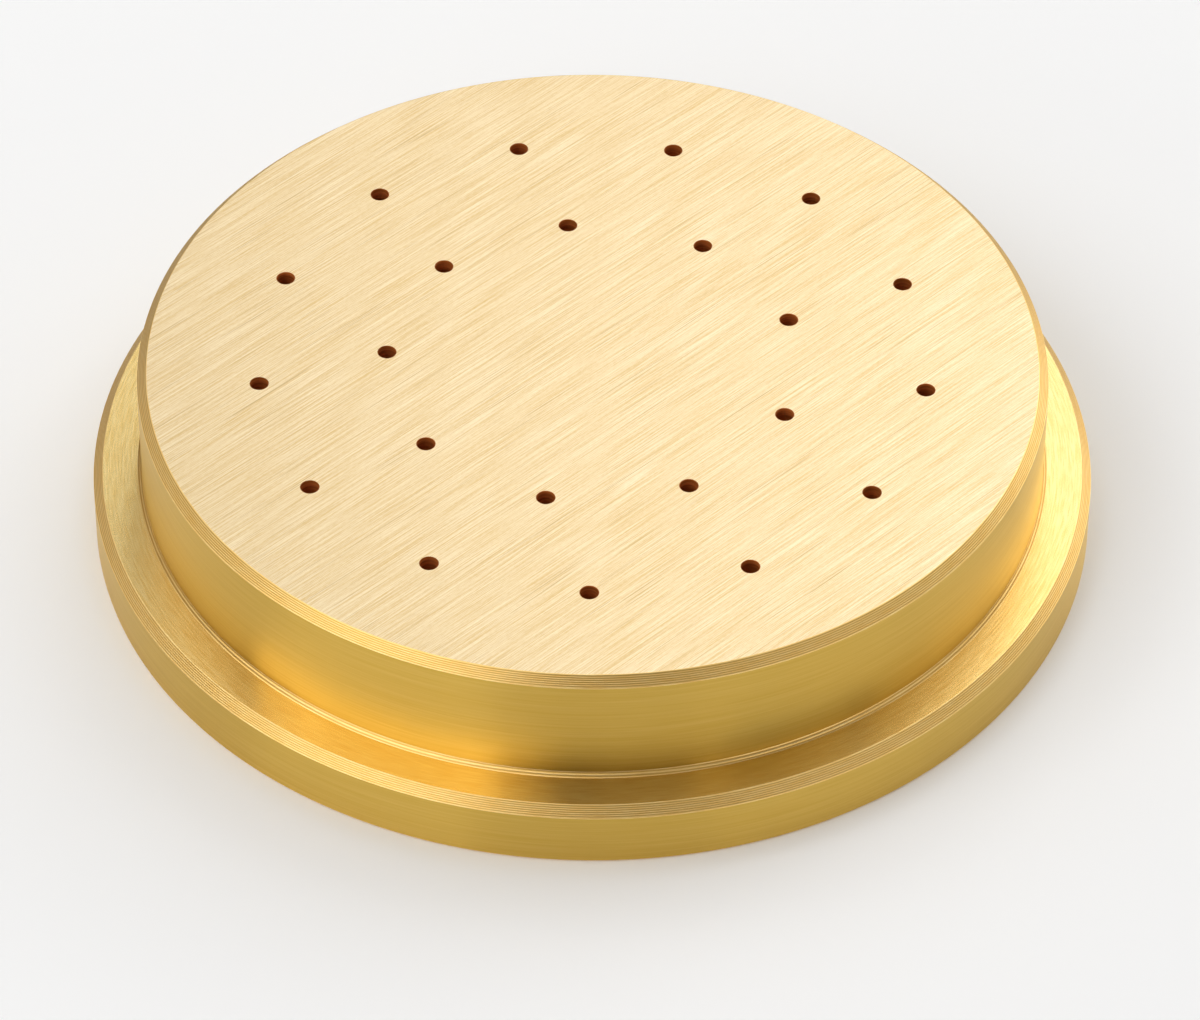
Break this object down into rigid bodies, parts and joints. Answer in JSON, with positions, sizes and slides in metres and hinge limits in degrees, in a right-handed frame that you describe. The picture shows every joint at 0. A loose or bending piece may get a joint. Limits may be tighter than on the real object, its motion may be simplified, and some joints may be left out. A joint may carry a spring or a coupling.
{
  "type": "pasta extrusion die",
  "caption": "Round brass die for a pasta extruder: a chamfered boss on a seating flange, drilled with two rings of small exit holes that open into wider feed bores behind.",
  "frame": {"origin": "centre of the rear face, on the axis of the die", "axes": "+Z along the axis, out of the exit face; the part rests on its rear face; -Y is the side that the picture looks from"},
  "size_m": [0.0798, 0.0798, 0.0155],
  "materials": {
    "brass": "exit face brushed in straight lines, all other faces finely turned"
  },
  "bodies": {
    "root": {"die": "brass"}
  },
  "joints": []
}
